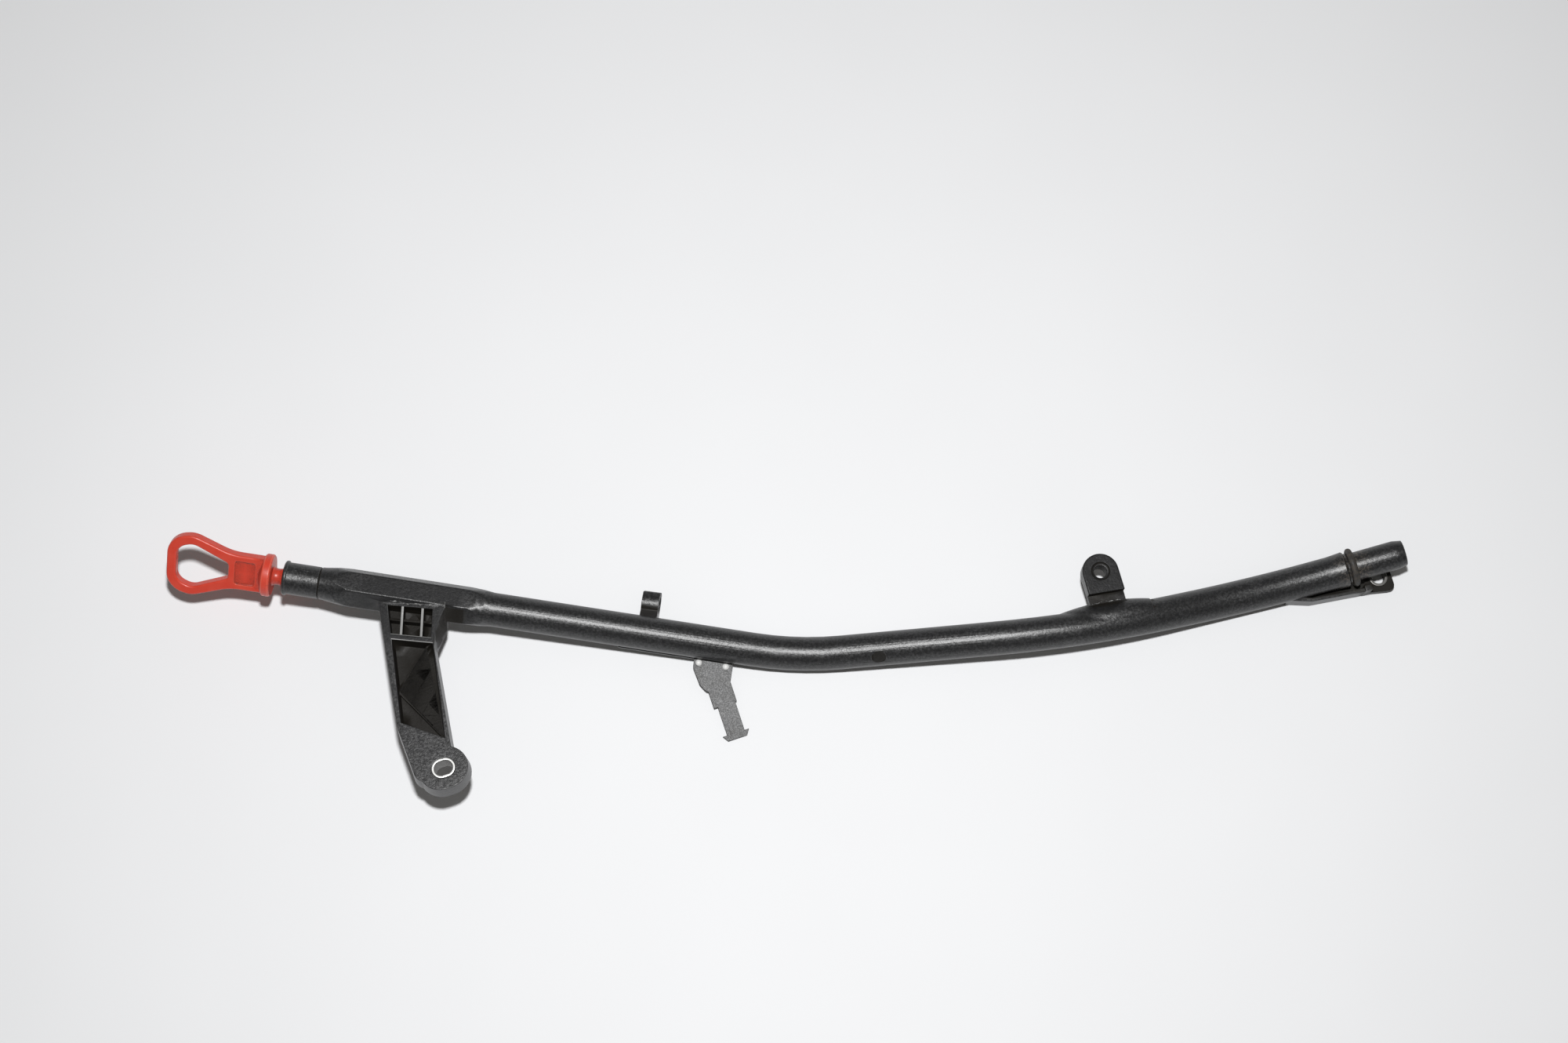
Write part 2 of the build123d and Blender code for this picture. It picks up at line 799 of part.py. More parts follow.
with BuildPart() as loop:
    with BuildSketch(loop_plane):
        with BuildLine():
            FilletPolyline(
                (flange_near + flange_edge, -plate_half_width),
                (flange_near + flange_edge, plate_half_width),
                (loop_neck_at, plate_half_width),
                (loop_wide_at, loop_half_width),
                (loop_end, loop_end_half),
                (loop_end, -loop_end_half),
                (loop_wide_at, -loop_half_width),
                (loop_neck_at, -plate_half_width),
                radius=[
                    0,
                    0,
                    loop_neck_radius,
                    loop_wide_radius,
                    loop_end_radius,
                    loop_end_radius,
                    loop_wide_radius,
                    loop_neck_radius,
                ],
                close=True,
            )
        make_face()
        with BuildLine():
            FilletPolyline(
                (hole_near, -hole_near_half),
                (hole_near, hole_near_half),
                (loop_wide_at, loop_half_width - loop_limb),
                (loop_end - loop_limb, loop_end_half - loop_limb),
                (loop_end - loop_limb, -loop_end_half + loop_limb),
                (loop_wide_at, -loop_half_width + loop_limb),
                radius=[
                    hole_near_radius,
                    hole_near_radius,
                    hole_wide_radius,
                    hole_end_radius,
                    hole_end_radius,
                    hole_wide_radius,
                ],
                close=True,
            )
        make_face(mode=Mode.SUBTRACT)
    extrude(amount=loop_thickness / 2, both=True)
    loop_rims = loop.edges().group_by(loop_axis)
    fillet(loop_rims[-1] + loop_rims[0], loop_edge)
    with BuildSketch(loop_plane.offset(loop_thickness / 2)):
        with Locations(((recess_near + recess_far) / 2, 0)):
            RectangleRounded(recess_far - recess_near, 2 * recess_half, recess_corner)
    extrude(amount=-recess_depth, mode=Mode.SUBTRACT)

with BuildPart() as dipstick_handle:
    add(loop.part)
    with BuildSketch(loop_plane):
        with BuildLine():
            neck_mid = (flange_near / 2, neck_waist_od / 2)
            neck_in = (0, neck_flare_od / 2)
            neck_out = (flange_near, neck_flare_od / 2)
            Polyline(
                neck_out,
                (flange_near, flange_od / 2 - flange_edge),
                (flange_near + flange_edge, flange_od / 2),
                (flange_far - flange_edge, flange_od / 2),
                (flange_far, flange_od / 2 - flange_edge),
                (flange_far + flange_cone, loop_thickness / 2),
                (flange_far + flange_cone, 0),
                (-plug_end, 0),
                (-plug_end, plug_radius - edge_break),
                (-plug_end + edge_break, plug_radius),
                (-seal_at - seal_half, plug_radius),
                (-seal_at - seal_half, seal_floor),
                (-seal_at + seal_half, seal_floor),
                (-seal_at + seal_half, plug_radius),
                (-bead_width, plug_radius),
                neck_in,
            )
            ThreePointArc(neck_in, neck_mid, neck_out)
        make_face()
    revolve(axis=mouth_axis)
    with BuildSketch(grip_plane):
        Rectangle(blade_width, blade_thickness)
    extrude(amount=blade_grip, mode=Mode.SUBTRACT)
dipstick_handle.part.label = "dipstick_handle"

# Rubber seal on the plug
with BuildPart(Plane(origin=on_mouth_run(seal_at), z_dir=inward)) as plug_seal:
    Torus(seal_floor + seal_section / 2, seal_section / 2)
plug_seal.part.label = "plug_seal"

# Spring-steel blade, bent to the route, with its low and high marks near the tip
blade_tip = tip - outward * blade_short
blade_line = centre_line(on_mouth_run(plug_end - blade_grip), blade_tip)

with BuildPart() as dipstick_blade:
    with BuildSketch(grip_plane):
        Rectangle(blade_width, blade_thickness)
    sweep(path=blade_line)
    tip_face = dipstick_blade.faces().sort_by_distance(blade_tip)[0]
    tip_corners = tip_face.edges().sort_by(SortBy.LENGTH)[:2]
    blade_tip_plane = Plane(origin=blade_tip, x_dir=outward, z_dir=tip_corners[0].tangent_at(0))
    fillet(tip_corners, blade_tip_radius)
    with BuildSketch(blade_tip_plane):
        with Locations((-blade_low_mark, 0), (-blade_high_mark, 0)):
            Circle(blade_mark_hole / 2)
    extrude(amount=blade_thickness, both=True, mode=Mode.SUBTRACT)
dipstick_blade.part.label = "dipstick_blade"

os.makedirs("parts", exist_ok=True)
export_step(guide_tube.part, "parts/guide_tube.step")
export_step(arm_slot_liner.part, "parts/arm_slot_liner.step")
export_step(foot_bush.part, "parts/foot_bush.step")
export_step(connector_plate.part, "parts/connector_plate.step")
export_step(plate_rivets.part, "parts/plate_rivets.step")
export_step(spigot_o_ring.part, "parts/spigot_o_ring.step")
export_step(dipstick_handle.part, "parts/dipstick_handle.step")
export_step(plug_seal.part, "parts/plug_seal.step")
export_step(dipstick_blade.part, "parts/dipstick_blade.step")
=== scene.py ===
import json
from math import cos, pi, radians, sin, sqrt

import bmesh
import bpy
from bpy.props import FloatProperty, FloatVectorProperty, IntProperty, PointerProperty
from bpy.types import NodeSocket, Operator, Panel, PropertyGroup
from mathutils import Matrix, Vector
from mathutils.bvhtree import BVHTree


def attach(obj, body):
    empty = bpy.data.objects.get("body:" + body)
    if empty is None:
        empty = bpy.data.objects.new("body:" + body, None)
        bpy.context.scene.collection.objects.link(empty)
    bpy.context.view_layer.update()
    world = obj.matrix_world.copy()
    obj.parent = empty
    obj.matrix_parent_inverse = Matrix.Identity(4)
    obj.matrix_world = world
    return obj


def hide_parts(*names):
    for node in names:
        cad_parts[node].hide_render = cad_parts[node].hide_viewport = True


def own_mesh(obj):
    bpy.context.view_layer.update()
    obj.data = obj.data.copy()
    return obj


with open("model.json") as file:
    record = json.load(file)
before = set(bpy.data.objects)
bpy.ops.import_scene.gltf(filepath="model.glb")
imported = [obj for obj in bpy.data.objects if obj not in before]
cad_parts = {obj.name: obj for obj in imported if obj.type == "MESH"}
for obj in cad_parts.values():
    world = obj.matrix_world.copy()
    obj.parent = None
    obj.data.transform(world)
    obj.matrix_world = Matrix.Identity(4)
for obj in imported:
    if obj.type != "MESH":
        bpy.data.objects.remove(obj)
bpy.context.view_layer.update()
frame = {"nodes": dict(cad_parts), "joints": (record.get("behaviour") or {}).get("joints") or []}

bl_info = {
    "name": "Engine Oil Dipstick",
    "version": (1, 0, 0),
    "blender": (4, 5, 0),
    "location": "3D View > Sidebar > Dipstick",
    "description": "Finishes a dipstick and its guide tube over the CAD frame, and stages them",
    "category": "Object",
}

GUIDE = "guide"
DIPSTICK = "dipstick"
PULL = frame["joints"][0]
OUTWARD = Vector(PULL["axis"])
EDGE_WEAR_AND_LIGHT = "edge_wear_and_painted_light"
OCCLUSION = "occlusion"

# How meshes are cleaned, split and read for painted shade and dirt
MERGE = 1e-6
FLAT = radians(0.4)
EASE_STEPS = 2
SPLITS = 4
LIFT = 1e-4
SKY_WAYS = 48
OPEN_SIDE = 0.25
TRAY_DEPTH = 0.0012
TRAY_FACING = 0.2

# How far edges and crests are paled: 1 is hazed and 2 is pale. Eased edges are partly wear and partly
# painted highlight, the block's ridge is a painted highlight, and the rib tops and cell edges are paled.
EDGE_RUB_AND_SHEEN = 1.0
RIDGE_HIGHLIGHT = 1.5
RIB_PALE = 2.0
RIB_REACH = 0.0009
RIB_FACING = 0.6
RIDGE_REACH = 0.002
CELL_FACING = 0.5

# How flash is laid on the guide from above
LAY_STEPS = 24
LAY_HEIGHT = 0.1
FLASH_GRAIN = 1 / 420
FLASH_SWAY = 4.0

# Camera sensor in millimetres, and the room's look
SENSOR = 36
COVE = (0.02, 0.30)
WARM = (1.0, 0.97, 0.92, 1)
WHITE = (1.0, 1.0, 1.0)
DULL = (0.22, 0.22, 0.22)

# Places on the guide that its finish and flash follow
RIBS = (
    (Vector((-0.1879, 0.0282, 0.0316)), Vector((-0.1879, 0.0138, 0.0332))),
    (Vector((-0.1782, 0.0272, 0.0315)), Vector((-0.1782, 0.0129, 0.0331))),
)
# The block's ridge, which carries a painted highlight
BLOCK_RIDGE = (Vector((-0.2121, 0.0351, 0.0354)), Vector((-0.1553, 0.0274, 0.0302)))
CELL_LOW = Vector((-0.1930, 0.0092, 0.0310))
CELL_HIGH = Vector((-0.1740, 0.0146, 0.0345))
# The arm's tray: its floor is filled with painted shade, tinted brown as dirt
TRAY_TOP = Vector((-0.1840, 0.0354, 0.0311))
TRAY_UP = Vector((0.0173, 0.1115, 0.9936))
TRAY_LOW = Vector((-0.1970, -0.0400, 0.0200))
TRAY_HIGH = Vector((-0.1620, 0.0310, 0.0400))
EJECTOR_MARK = (0.0426, 0.0065, 0.0166)
BLOCK = (-0.184, 0.034, 0.032)
UPPER_LUG = (0.1515, 0.0440, 0.0255)
FOOT_EYE = (0.2916, 0.0496, 0.0048)
RING_SEAT = (0.276, 0.0521, 0.0136)
FLANGE = (-0.2541, 0.0442, 0.0299)
TEE = (-0.0276, -0.0270, 0.0018)
ROOT_FLASH = ((-0.1961, 0.0312), (-0.1695, 0.0279))
LUG_FLASH = ((0.1457, 0.0317), (0.1610, 0.0343))
MOUTH_FLASH = ((-0.2419, 0.0451), (-0.2297, 0.0443))


# Sizes and colours a user would change


def length(name, description, default):
    """A length property in metres."""
    return FloatProperty(
        name=name, description=description, default=default, min=0, precision=5, unit="LENGTH"
    )


def place(name, description, default):
    """A point of the shared frame, in metres."""
    return FloatVectorProperty(
        name=name,
        description=description,
        default=default,
        precision=4,
        subtype="TRANSLATION",
        unit="LENGTH",
    )


def colour(name, description, default):
    """A linear colour property."""
    return FloatVectorProperty(
        name=name, description=description, default=default, min=0, max=1, subtype="COLOR", size=3
    )


class DipstickSizes(PropertyGroup):
    """Sizes of the finish that the solids leave out"""

    mould_edge: length("Moulded edge", "Radius that the mould leaves on outer edges", 0.0003)
    press_edge: length("Pressed edge", "Radius that the press leaves on sheet and turned edges", 0.00015)
    sharp_angle: FloatProperty(
        name="Sharp angle",
        description="Edges that turn more than this are eased",
        default=radians(32),
        subtype="ANGLE",
    )
    blade_keep: FloatProperty(
        name="Blade bend kept",
        description="Share of its bend that the springy blade keeps when it is pulled clear",
        default=0.06,
        min=0.01,
        max=1,
        subtype="FACTOR",
    )
    # Edges longer than the step are split, and walls within the reach paint shade, tinted brown as dirt,
    # into the mouldings' recesses
    shade_step: length("Dirt step", "Longest moulded edge that is left unsplit", 0.009)
    shade_reach: length("Dirt reach", "How near a wall shelters a surface from wiping", 0.016)
    rivet_head: length("Rivet head", "Radius of a rivet's head", 0.0017)
    rivet_crown: length("Rivet crown", "Height of a rivet's head", 0.0007)
    rivet_tail: length("Rivet tail", "Height of a rivet's set tail", 0.0007)
    rivet_shank: length("Rivet shank", "Radius of a rivet's shank", 0.0011)
    rivet_dent: length("Rivet dent", "Depth of the setting tool's dents in a rivet", 0.00012)
    rivet_left: place("Left rivet", "Under the sheet at the left", (-0.045519, 0.005957, 0.005359))
    rivet_right: place("Right rivet", "Under the sheet at the right", (-0.032294, 0.004133, 0.0042))
    rivet_way: FloatVectorProperty(
        name="Rivet axis",
        description="Way the heads face",
        default=(0.07342, -0.0981, 0.99246),
        subtype="DIRECTION",
    )
    sheet: length("Sheet", "Thickness of the connector plate", 0.0012)
    tab: length("Tab", "Thickness of the tab that the rivets hold", 0.0024)
    flash_height: length("Flash height", "Height of the ragged flash at a mould's parting", 0.00040)
    flash_step: length("Flash step", "Distance between bends of the flash", 0.0009)
    flash_wander: length("Flash wander", "How far the flash strays from its line", 0.0008)
    seed: IntProperty(name="Seed", description="Seed of all ragged detail", default=7, min=0)


class DipstickColours(PropertyGroup):
    """Colours of the finishes, linear"""

    nylon: colour("Black nylon", "Glass-filled nylon of the guide tube", (0.013, 0.013, 0.0135))
    # Also laid on eased edges, partly as wear and partly as painted highlight
    nylon_haze_and_sheen: colour("Nylon haze", "Dry nylon with fibre at its surface", (0.040, 0.040, 0.041))
    # Also the painted highlight on the block's ridge, and the paled rib tops and cell edges
    nylon_scuff_and_highlight: colour("Nylon scuff", "Nylon rubbed pale on ribs and flash", (0.30, 0.30, 0.295))
    # Painted shade in pockets and recesses, tinted brown as dirt; also laid on the ejector mark and
    # round the foot's eye
    nylon_shade_and_dirt: colour("Oily dirt", "Brown film in the pockets of the nylon", (0.012, 0.0105, 0.0085))
    red: colour("Red nylon", "Nylon of the handle", (0.61, 0.049, 0.026))
    # Also laid on eased edges, partly as wear and partly as painted highlight
    red_pale_and_sheen: colour("Scuffed red", "Rubbed edges of the handle", (0.72, 0.12, 0.075))
    # Painted shade in the handle's recess, mottled as grime; also grime round its flange
    red_shade_and_grime: colour("Red grime", "Dirt in the corners of the handle", (0.20, 0.030, 0.018))
    steel: colour("Bright steel", "Liner and bush", (0.74, 0.74, 0.72))
    sheet: colour("Grey sheet", "Coated sheet of the connector plate", (0.085, 0.086, 0.088))
    # Also painted shade along the sheet's sheared edges
    sheet_stain_and_shade: colour("Stained sheet", "Darker stain of the sheet", (0.045, 0.0445, 0.043))
    # Partly the rivets' own pale metal, partly a painted reflection of the lamp
    rivet: colour("Rivet metal", "Soft metal of the rivets", (0.64, 0.64, 0.63))
    rubber: colour("Black rubber", "Ring seals", (0.022, 0.021, 0.020))
    dust: colour("Dust", "Dry brown dust on rubber and nylon", (0.115, 0.092, 0.068))
    # Painted shade on steel walls that face sideways, also the darker steel round the foot's eye
    dark_steel: colour("Old oil", "Dark film on steel in the foot", (0.075, 0.070, 0.064))
    spring: colour("Spring steel", "Blade", (0.46, 0.46, 0.47))
    floor: colour("Floor", "Pale floor", (0.845, 0.853, 0.868))


class DipstickStage(PropertyGroup):
    """Camera and light, in metres"""

    camera: place("Camera", "Where the camera stands", (-0.00359, -0.236086, 1.13799))
    camera_tilt: FloatProperty(
        name="Camera tilt",
        description="Camera's lean from straight down",
        default=radians(15.5),
        subtype="ANGLE",
    )
    lens: FloatProperty(
        name="Lens", description="Focal length on a 36 mm wide sensor", default=54.0, min=1
    )
    lamp: place("Lamp", "Where the small lamp above the camera stands", (-0.0036, -0.0242, 1.197))
    lamp_size: length("Lamp size", "Width of the round lamp", 0.07)
    lamp_power: FloatProperty(
        name="Lamp power", description="Power of the lamp", default=13.6, min=0, unit="POWER"
    )
    fill: FloatProperty(
        name="Fill", description="Strength of the even light all round", default=0.13, min=0
    )
    floor_width: length("Floor width", "Side of the square floor", 6.0)


# Shader building blocks


def add(tree, kind, inputs=None, **settings):
    """Adds a node, sets its options and fills its inputs with values or links."""
    node = tree.nodes.new(kind)
    for option, value in settings.items():
        setattr(node, option, value)
    for socket, value in (inputs or {}).items():
        if isinstance(value, NodeSocket):
            tree.links.new(value, node.inputs[socket])
        else:
            node.inputs[socket].default_value = value
    return node


def mixed(tree, factor, first, second):
    """Colour between two others."""
    node = add(tree, "ShaderNodeMix", {0: factor}, data_type="RGBA")
    for socket, value in ((6, first), (7, second)):
        if isinstance(value, NodeSocket):
            tree.links.new(value, node.inputs[socket])
        else:
            node.inputs[socket].default_value = (*value, 1)
    return node.outputs[2]


def ranged(tree, value, low, high, to_low=0.0, to_high=1.0):
    """Value stretched from one range to another and clamped."""
    sockets = {"Value": value, "From Min": low, "From Max": high, "To Min": to_low, "To Max": to_high}
    return add(tree, "ShaderNodeMapRange", sockets).outputs["Result"]


def math(tree, operation, first, second=0.5):
    """One arithmetic step."""
    return add(tree, "ShaderNodeMath", {0: first, 1: second}, operation=operation).outputs[0]


def noise(tree, where, grain, detail=3.0, rough=0.55):
    """Noise whose grain is about that many metres wide."""
    sockets = {"Vector": where, "Scale": 1 / grain, "Detail": detail, "Roughness": rough}
    return add(tree, "ShaderNodeTexNoise", sockets).outputs["Fac"]


def near(tree, where, centre, inner, outer):
    """One within the inner distance of a point, fading to nothing at the outer one."""
    gap = add(tree, "ShaderNodeVectorMath", {0: where, 1: centre}, operation="DISTANCE")
    return ranged(tree, gap.outputs["Value"], inner, outer, 1.0, 0.0)


def start_material(name):
    """New node material: its tree, its shader and Object coordinates."""
    material = bpy.data.materials.new(name)
    material.use_nodes = True
    tree = material.node_tree
    tree.nodes.clear()
    output = add(tree, "ShaderNodeOutputMaterial")
    shader = add(tree, "ShaderNodeBsdfPrincipled")
    tree.links.new(shader.outputs[0], output.inputs["Surface"])
    where = add(tree, "ShaderNodeTexCoord").outputs["Object"]
    return material, tree, shader, where


def plug(tree, shader, **sockets):
    """Links or sets shader inputs by name, with underscores for spaces."""
    for name, value in sockets.items():
        socket = shader.inputs[name.replace("_", " ")]
        if isinstance(value, NodeSocket):
            tree.links.new(value, socket)
        else:
            socket.default_value = value


def bumped(tree, height, depth, strength=1.0):
    """Bump from a height between 0 and 1 that is depth metres tall."""
    sockets = {"Height": height, "Distance": depth, "Strength": strength}
    return add(tree, "ShaderNodeBump", sockets).outputs["Normal"]


def attribute(tree, name):
    """A number that the piece's own mesh carries."""
    node = add(tree, "ShaderNodeAttribute", attribute_name=name, attribute_type="GEOMETRY")
    return node.outputs["Fac"]


def strongest(tree, *values):
    """The largest of several values."""
    top = values[0]
    for value in values[1:]:
        top = math(tree, "MAXIMUM", top, value)
    return top


# Finishes


def black_nylon(colours):
    """Satin black nylon: fibre mottles its shine, eased edges are paled as wear and painted highlight,
    the block's ridge has a painted highlight, and pockets hold painted shade tinted brown as dirt.
    """
    material, tree, shader, where = start_material("black_nylon")
    fibre = noise(tree, where, 0.0012, 4.0, 0.62)
    speck = noise(tree, where, 0.0005, 2.0)
    patch = noise(tree, where, 0.013, 3.0)
    grain = math(tree, "ADD", math(tree, "MULTIPLY", fibre, 0.65), math(tree, "MULTIPLY", speck, 0.35))
    dry_patch = ranged(tree, patch, 0.42, 0.64, 0.0, 0.7)
    dry = math(tree, "MULTIPLY", ranged(tree, fibre, 0.5, 0.7), dry_patch)
    wear_and_light = attribute(tree, EDGE_WEAR_AND_LIGHT)
    tint = mixed(tree, dry, colours.nylon, colours.nylon_haze_and_sheen)
    # Eased edges paled, partly as wear and partly as painted highlight
    tint = mixed(tree, ranged(tree, wear_and_light, 0.0, EDGE_RUB_AND_SHEEN, 0.0, 0.5), tint, colours.nylon_haze_and_sheen)
    # Painted shade in recesses, from the share of the open side that walls shut off
    shut = ranged(tree, attribute(tree, OCCLUSION), 0.16, 0.42)
    mark = near(tree, where, EJECTOR_MARK, 0.0031, 0.0037)
    foot = near(tree, where, FOOT_EYE, 0.0105, 0.0135)
    # Painted shade with dirt, the ejector mark, and a darker patch round the foot's eye
    shade_and_dirt = strongest(tree, shut, math(tree, "MULTIPLY", mark, 0.8), foot)
    block = math(tree, "MULTIPLY", near(tree, where, BLOCK, 0.022, 0.034), 0.6)
    flecked = ranged(tree, grain, 0.42, 0.58, 0.65, 0.0)
    dull = strongest(tree, shade_and_dirt, near(tree, where, UPPER_LUG, 0.0155, 0.019), block, flecked)
    tint = mixed(tree, shade_and_dirt, tint, colours.nylon_shade_and_dirt)
    dusty = near(tree, where, RING_SEAT, 0.009, 0.0125)
    dusty = math(tree, "MULTIPLY", dusty, ranged(tree, fibre, 0.45, 0.65, 0.0, 0.5))
    tint = mixed(tree, dusty, tint, colours.dust)
    # Pale rib tops and cell edges, and a painted highlight on the block's ridge
    tint = mixed(tree, ranged(tree, wear_and_light, EDGE_RUB_AND_SHEEN, RIB_PALE), tint, colours.nylon_scuff_and_highlight)
    gloss = ranged(tree, grain, 0.36, 0.64, 0.30, 0.42)
    plug(
        tree,
        shader,
        Base_Color=tint,
        Roughness=math(tree, "ADD", gloss, math(tree, "MULTIPLY", shade_and_dirt, 0.16)),
        Normal=bumped(tree, grain, 0.00014),
        Specular_IOR_Level=0.9,
        Specular_Tint=mixed(tree, dull, WHITE, DULL),
    )
    return material


def nylon_flash(colours):
    """Thin torn flash, paler than the nylon it stands on."""
    material, tree, shader, where = start_material("nylon_flash")
    torn = noise(tree, where, 0.0012, 3.0)
    tint = mixed(tree, ranged(tree, torn, 0.42, 0.6), colours.nylon_haze_and_sheen, colours.nylon_scuff_and_highlight)
    plug(
        tree,
        shader,
        Base_Color=tint,
        Roughness=ranged(tree, torn, 0.35, 0.65, 0.35, 0.55),
        Normal=bumped(tree, torn, 0.0001, 0.6),
    )
    return material


def red_nylon(colours):
    """Semi-gloss red nylon, paler on eased edges as wear and painted highlight, with painted shade and
    grime in its recess and grime round its flange.
    """
    material, tree, shader, where = start_material("red_nylon")
    cloud = noise(tree, where, 0.007, 3.0)
    fine = noise(tree, where, 0.0008, 3.0)
    # Painted shade in the recess, from the share that walls shut off, mottled as grime
    shut = ranged(tree, attribute(tree, OCCLUSION), 0.12, 0.5)
    recess_shade_and_grime = math(tree, "MULTIPLY", shut, ranged(tree, fine, 0.35, 0.65, 0.3, 0.95))
    handled = near(tree, where, FLANGE, 0.009, 0.0135)
    handled = math(tree, "MULTIPLY", handled, ranged(tree, fine, 0.54, 0.7, 0.0, 0.5))
    tint = mixed(tree, ranged(tree, cloud, 0.35, 0.7, 0.0, 0.22), colours.red, colours.red_pale_and_sheen)
    # Eased edges paled, partly as wear and partly as painted highlight
    tint = mixed(tree, math(tree, "MULTIPLY", attribute(tree, EDGE_WEAR_AND_LIGHT), 0.6), tint, colours.red_pale_and_sheen)
    tint = mixed(tree, strongest(tree, recess_shade_and_grime, handled), tint, colours.red_shade_and_grime)
    plug(
        tree,
        shader,
        Base_Color=tint,
        Roughness=ranged(tree, fine, 0.35, 0.65, 0.30, 0.42),
        Normal=bumped(tree, fine, 0.00006, 0.5),
    )
    return material


def bright_steel(colours):
    """Turned steel with fine scratches; painted shade darkens the walls that face sideways, such as bore
    walls, and it is darker round the foot's eye.
    """
    material, tree, shader, where = start_material("bright_steel")
    scratch = noise(tree, where, 0.0005, 4.0, 0.7)
    # Painted shade on walls that face sideways, and a darker patch round the foot's eye
    facing = add(tree, "ShaderNodeNewGeometry").outputs["Normal"]
    rise = math(tree, "ABSOLUTE", add(tree, "ShaderNodeSeparateXYZ", {0: facing}).outputs["Z"])
    wall_shade = ranged(tree, rise, 0.15, 0.6, 0.9, 0.0)
    film_and_shade = strongest(tree, near(tree, where, FOOT_EYE, 0.006, 0.012), wall_shade)
    film_and_shade = math(tree, "MULTIPLY", film_and_shade, ranged(tree, scratch, 0.3, 0.7, 0.95, 0.7))
    tint = mixed(tree, ranged(tree, scratch, 0.45, 0.75, 0.0, 0.45), colours.steel, colours.sheet)
    tint = mixed(tree, film_and_shade, tint, colours.dark_steel)
    plug(
        tree,
        shader,
        Base_Color=tint,
        Metallic=ranged(tree, film_and_shade, 0.0, 1.0, 1.0, 0.4),
        Roughness=ranged(tree, scratch, 0.3, 0.7, 0.32, 0.5),
        Normal=bumped(tree, scratch, 0.00004, 0.5),
    )
    return material


def grey_sheet(colours):
    """Coated grey sheet, stained at its hooked end, with painted shade along its sheared edges."""
    material, tree, shader, where = start_material("grey_sheet")
    cloud = noise(tree, where, 0.006, 4.0)
    grain = noise(tree, where, 0.0006, 3.0)
    hook = near(tree, where, TEE, 0.002, 0.009)
    hook = math(tree, "MULTIPLY", hook, ranged(tree, cloud, 0.38, 0.6, 0.1, 0.9))
    stain = strongest(tree, hook, ranged(tree, cloud, 0.45, 0.68, 0.0, 0.75))
    tint = mixed(tree, stain, colours.sheet, colours.sheet_stain_and_shade)
    tint = mixed(tree, ranged(tree, grain, 0.55, 0.75, 0.0, 0.3), tint, colours.sheet_stain_and_shade)
    # Painted shade along the sheared edges
    tint = mixed(tree, math(tree, "MULTIPLY", attribute(tree, EDGE_WEAR_AND_LIGHT), 0.8), tint, colours.sheet_stain_and_shade)
    plug(
        tree,
        shader,
        Base_Color=tint,
        Roughness=ranged(tree, grain, 0.35, 0.65, 0.42, 0.6),
        Normal=bumped(tree, grain, 0.00006, 0.6),
    )
    return material


def rivet_metal(colours):
    """Soft bright metal, dulled in the dents of the setting tool; its pale colour is partly the metal's
    own and partly a painted reflection.
    """
    material, tree, shader, where = start_material("rivet_metal")
    dent = noise(tree, where, 0.0008, 3.0)
    # The pale rivet colour is partly a painted reflection of the lamp
    tint = mixed(tree, ranged(tree, dent, 0.55, 0.75, 0.0, 0.15), colours.rivet, colours.sheet)
    plug(
        tree,
        shader,
        Base_Color=tint,
        Metallic=0.1,
        Roughness=ranged(tree, dent, 0.3, 0.7, 0.45, 0.6),
        Normal=bumped(tree, dent, 0.00006, 0.6),
    )
    return material


def black_rubber(colours):
    """Dull rubber with brown dust."""
    material, tree, shader, where = start_material("black_rubber")
    cloud = noise(tree, where, 0.0022, 4.0, 0.6)
    fine = noise(tree, where, 0.0005, 2.0)
    tint = mixed(tree, ranged(tree, cloud, 0.45, 0.7, 0.05, 0.5), colours.rubber, colours.dust)
    plug(
        tree,
        shader,
        Base_Color=tint,
        Roughness=ranged(tree, cloud, 0.35, 0.65, 0.5, 0.8),
        Normal=bumped(tree, fine, 0.00006, 0.5),
    )
    return material


def spring_steel(colours):
    """Cold-rolled strip with streaks and an oily coat."""
    material, tree, shader, where = start_material("spring_steel")
    stretched = add(tree, "ShaderNodeMapping", {"Vector": where, "Scale": (0.06, 1.0, 1.0)}).outputs[0]
    streak = noise(tree, stretched, 0.0005, 4.0, 0.65)
    film_and_shade = noise(tree, where, 0.012, 3.0)
    tint = mixed(tree, ranged(tree, streak, 0.4, 0.7, 0.0, 0.5), colours.spring, colours.sheet)
    tint = mixed(tree, ranged(tree, film_and_shade, 0.55, 0.75, 0.0, 0.45), tint, colours.dust)
    plug(
        tree,
        shader,
        Base_Color=tint,
        Metallic=1.0,
        Roughness=ranged(tree, film_and_shade, 0.3, 0.7, 0.4, 0.22),
        Normal=bumped(tree, streak, 0.00003, 0.4),
    )
    return material


def pale_floor(colours):
    """Plain pale floor."""
    material, tree, shader, where = start_material("pale_floor")
    cloud = noise(tree, where, 0.12, 2.0)
    shade = [0.985 * part for part in colours.floor]
    tint = mixed(tree, ranged(tree, cloud, 0.3, 0.7), colours.floor, shade)
    plug(tree, shader, Base_Color=tint, Roughness=0.6, Specular_IOR_Level=0.25)
    return material


FINISHES = {
    "black_nylon": black_nylon,
    "nylon_flash": nylon_flash,
    "red_nylon": red_nylon,
    "bright_steel": bright_steel,
    "grey_sheet": grey_sheet,
    "rivet_metal": rivet_metal,
    "black_rubber": black_rubber,
    "spring_steel": spring_steel,
    "pale_floor": pale_floor,
}


def finish_for(scene, name):
    """Material of a slot, made on first use."""
    return bpy.data.materials.get(f"finish_{name}") or made_finish(scene, name)


def made_finish(scene, name):
    """Makes a slot's material from the scene's colours."""
    material = FINISHES[name](scene.dipstick_colours)
    material.name = f"finish_{name}"
    return material


# Mesh building blocks


